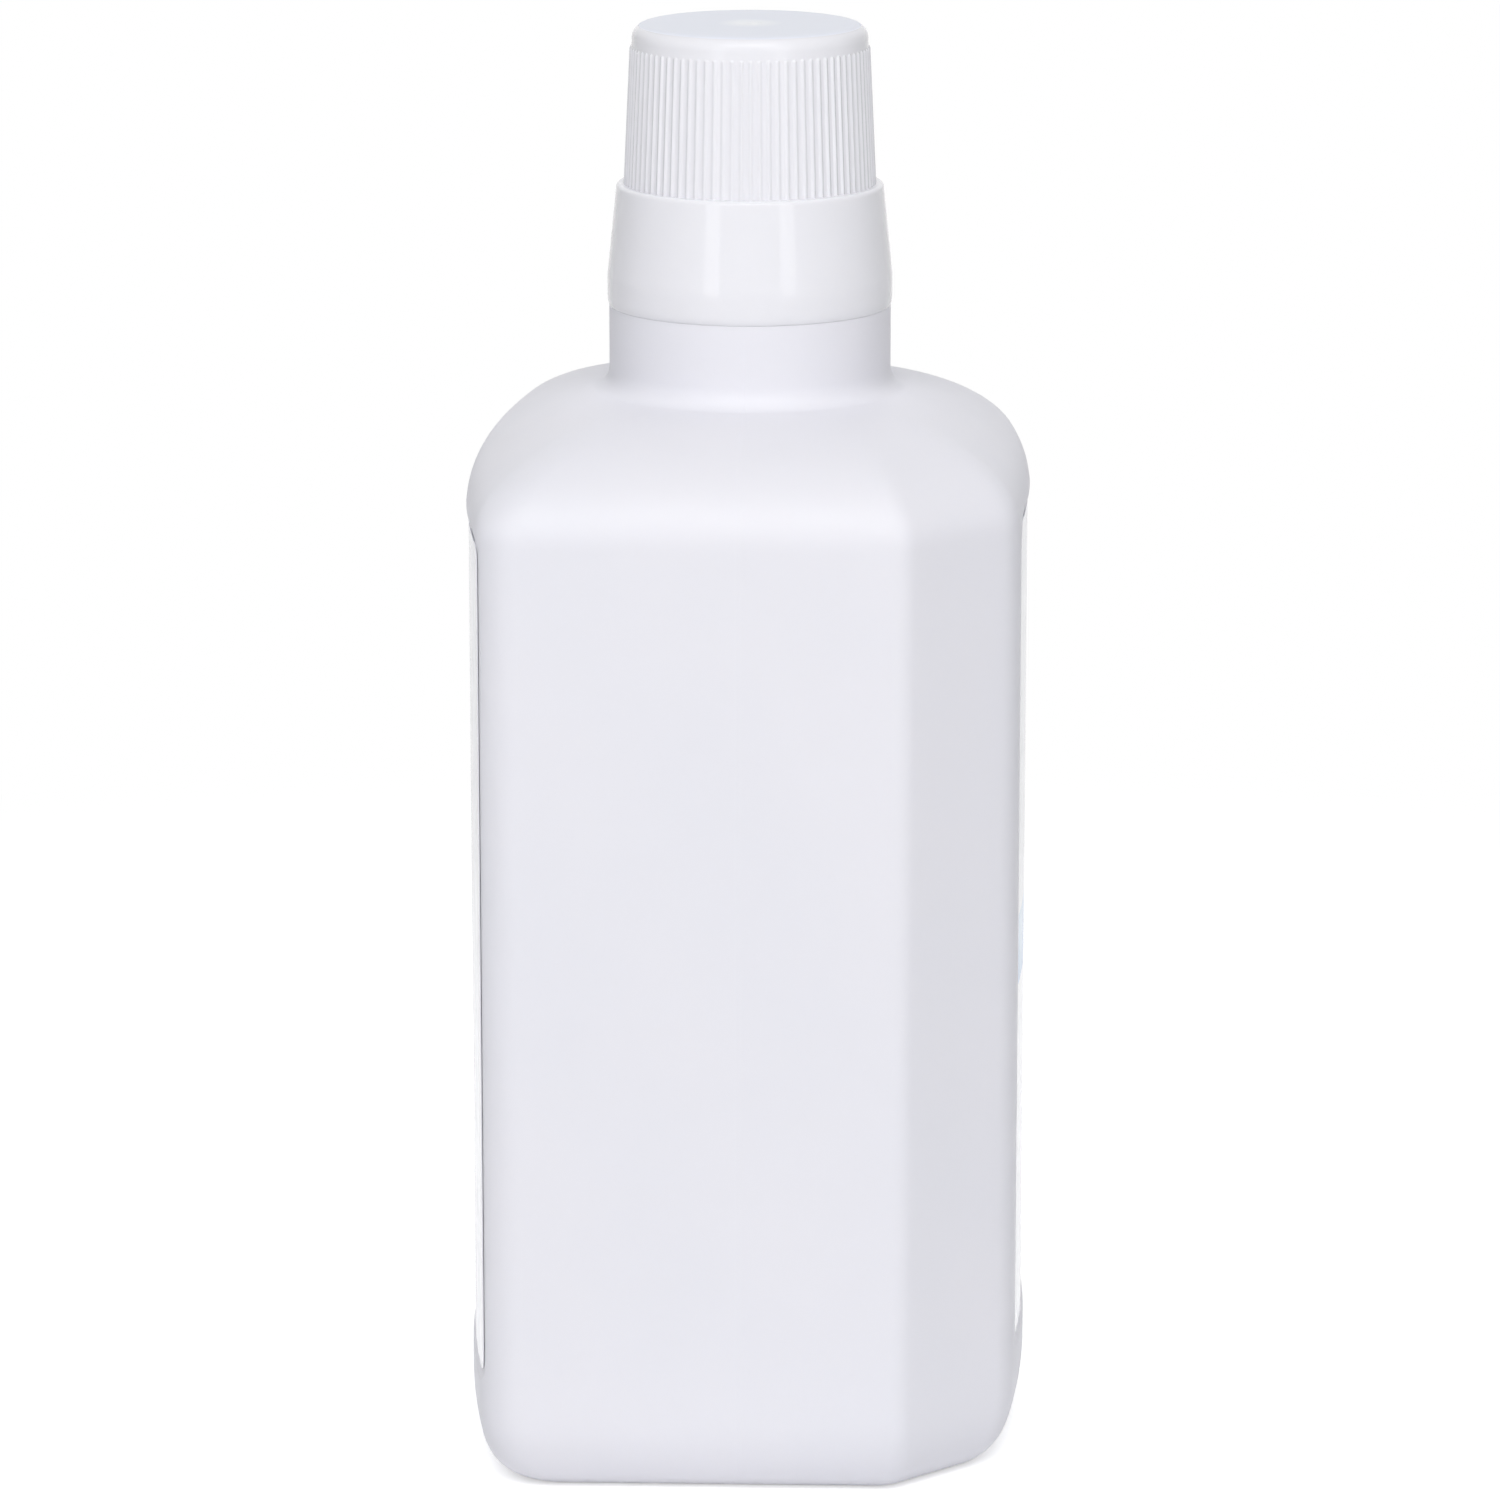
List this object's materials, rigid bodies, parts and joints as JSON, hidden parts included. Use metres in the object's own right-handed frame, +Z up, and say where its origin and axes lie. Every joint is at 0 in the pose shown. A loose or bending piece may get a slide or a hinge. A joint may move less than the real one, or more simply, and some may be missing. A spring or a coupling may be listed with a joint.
{
  "type": "mouthwash bottle",
  "caption": "White mouthwash bottle with chamfered front corners, label panels and a ribbed screw cap that is also the dosing cup.",
  "frame": {"origin": "middle of the bottle's footprint, on the table", "axes": "+Z up along the neck, -Y towards the front label, X across the width"},
  "size_m": [0.076, 0.0666, 0.1691],
  "materials": {
    "shell": "satin blow-moulded white polyethylene",
    "cap": "moulded white polypropylene, smooth and slightly glossy",
    "seal": "soft white sealing foam",
    "label": "thin satin white film"
  },
  "bodies": {
    "bottle": {"bottle": "shell", "front_label": "label", "back_label": "label"},
    "cap_seal": {"cap_seal": "seal"},
    "cap": {"cap": "cap"}
  },
  "joints": [
    {"name": "cap_lift", "type": "slide", "parent": "bottle", "child": "cap_seal", "axis": [0, 0, 1], "range_m": [0, 0.06]},
    {"name": "cap_turn", "type": "hinge", "parent": "cap_seal", "child": "cap", "pos_m": [0, 0, 0.1363], "axis": [0, 0, 1], "range_deg": [0, 360]}
  ]
}
